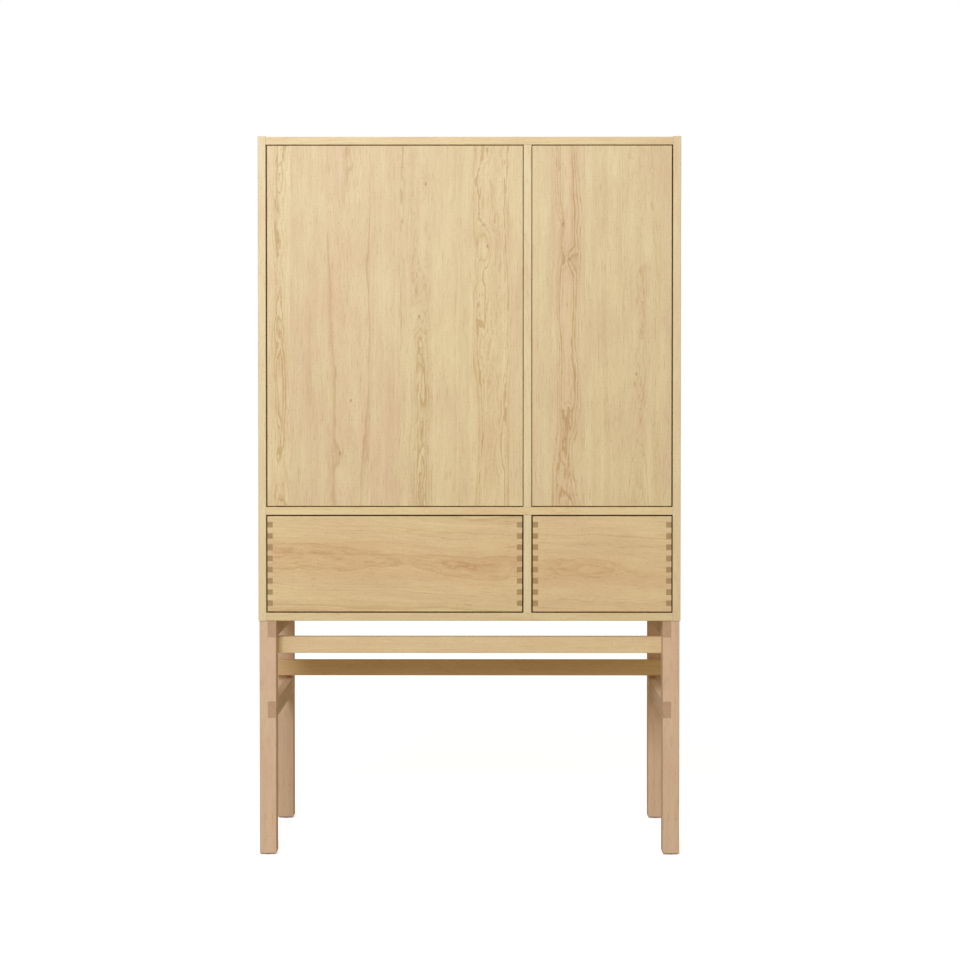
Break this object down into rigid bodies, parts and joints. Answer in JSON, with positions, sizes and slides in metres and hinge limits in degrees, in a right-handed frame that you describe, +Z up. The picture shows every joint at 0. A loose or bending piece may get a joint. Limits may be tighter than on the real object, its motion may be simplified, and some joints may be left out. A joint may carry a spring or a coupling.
{
  "type": "armoire",
  "caption": "Square oak cabinet on a four-legged stand, with a wide and a narrow flush door over two finger-jointed drawers.",
  "frame": {"origin": "centre of the footprint on the floor", "axes": "+Z up, the doors and drawers face -Y, +X to the right as seen from the front"},
  "size_m": [0.96, 0.4, 1.635],
  "materials": {
    "oak_case": "pale soaped oak, matt, fine straight grain along each board",
    "oak_door": "pale soaped oak staves, matt, grain upright",
    "oak_drawer": "pale soaped oak, matt, grain lying across, darker end grain in the finger joints",
    "oak_leg": "solid oak with a pink cast, matt, grain along the length",
    "oak_stretcher": "solid oak, matt, grain along the length",
    "birch_ply": "birch plywood, lightly sanded, matt",
    "beech_dowel": "fluted beech, raw",
    "zinc_steel": "zinc-plated steel, satin",
    "brass": "satin brass",
    "nylon": "natural white nylon, matt",
    "grey_plastic": "moulded grey plastic, fine texture"
  },
  "bodies": {
    "case": {"front_leg_left": "oak_leg", "front_leg_right": "oak_leg", "rear_leg_left": "oak_leg", "rear_leg_right": "oak_leg", "upper_side_rail_left": "oak_leg", "upper_side_rail_right": "oak_leg", "lower_side_rail_left": "oak_leg", "lower_side_rail_right": "oak_leg", "front_stretcher": "oak_stretcher", "rear_stretcher": "oak_stretcher", "leg_glides": "nylon", "joint_dowels": "beech_dowel", "stand_fixing_screws": "zinc_steel", "side_panel_left": "oak_case", "side_panel_right": "oak_case", "top_panel": "oak_case", "bottom_panel": "oak_case", "middle_panel": "oak_case", "upper_divider": "oak_case", "lower_divider": "oak_case", "back_panel": "birch_ply", "back_panel_screws": "zinc_steel", "large_shelf_lower": "oak_case", "large_shelf_upper": "oak_case", "small_shelf_lower": "oak_case", "small_shelf_upper": "oak_case", "shelf_pins": "brass", "case_hinge_plates": "brass", "case_hinge_screws": "brass", "hinge_washers": "nylon", "latch_bodies": "grey_plastic", "latch_screws": "zinc_steel", "case_runner_rails": "zinc_steel", "runner_screws": "zinc_steel"},
    "large_door": {"large_door_panel": "oak_door", "large_door_hinge_plates": "brass", "large_door_screws": "zinc_steel", "large_door_strike_plate": "zinc_steel"},
    "large_door_plunger": {"large_door_latch_plunger": "nylon"},
    "large_drawer": {"large_drawer_front": "oak_drawer", "large_drawer_side_left": "oak_drawer", "large_drawer_side_right": "oak_drawer", "large_drawer_back": "oak_drawer", "large_drawer_bottom": "birch_ply", "large_drawer_rails": "zinc_steel", "large_drawer_clips": "grey_plastic"},
    "large_drawer_runner": {"large_drawer_mid_rails": "zinc_steel"},
    "small_door": {"small_door_panel": "oak_door", "small_door_hinge_plates": "brass", "small_door_screws": "zinc_steel", "small_door_strike_plate": "zinc_steel"},
    "small_door_plunger": {"small_door_latch_plunger": "nylon"},
    "small_drawer": {"small_drawer_front": "oak_drawer", "small_drawer_side_left": "oak_drawer", "small_drawer_side_right": "oak_drawer", "small_drawer_back": "oak_drawer", "small_drawer_bottom": "birch_ply", "small_drawer_rails": "zinc_steel", "small_drawer_clips": "grey_plastic"},
    "small_drawer_runner": {"small_drawer_mid_rails": "zinc_steel"}
  },
  "joints": [
    {"name": "large_door_hinge", "type": "hinge", "parent": "case", "child": "large_door", "pos_m": [-0.445, -0.193, 1.205], "axis": [0, 0, -1], "range_deg": [0, 105]},
    {"name": "large_door_plunger_slide", "type": "slide", "parent": "case", "child": "large_door_plunger", "axis": [0, -1, 0], "range_m": [-0.002, 0], "stiffness_N_per_m": 200},
    {"name": "small_door_hinge", "type": "hinge", "parent": "case", "child": "small_door", "pos_m": [0.445, -0.193, 1.205], "axis": [0, 0, 1], "range_deg": [0, 105]},
    {"name": "small_door_plunger_slide", "type": "slide", "parent": "case", "child": "small_door_plunger", "axis": [0, -1, 0], "range_m": [-0.002, 0], "stiffness_N_per_m": 200},
    {"name": "large_drawer_slide", "type": "slide", "parent": "case", "child": "large_drawer", "axis": [0, -1, 0], "range_m": [0, 0.28]},
    {"name": "large_drawer_runner_slide", "type": "slide", "parent": "case", "child": "large_drawer_runner", "axis": [0, -1, 0], "range_m": [0, 0.14]},
    {"name": "small_drawer_slide", "type": "slide", "parent": "case", "child": "small_drawer", "axis": [0, -1, 0], "range_m": [0, 0.28]},
    {"name": "small_drawer_runner_slide", "type": "slide", "parent": "case", "child": "small_drawer_runner", "axis": [0, -1, 0], "range_m": [0, 0.14]}
  ],
  "couplings": [
    {"joint": "large_drawer_runner_slide", "follows": "large_drawer_slide", "ratio": 0.5},
    {"joint": "small_drawer_runner_slide", "follows": "small_drawer_slide", "ratio": 0.5}
  ]
}
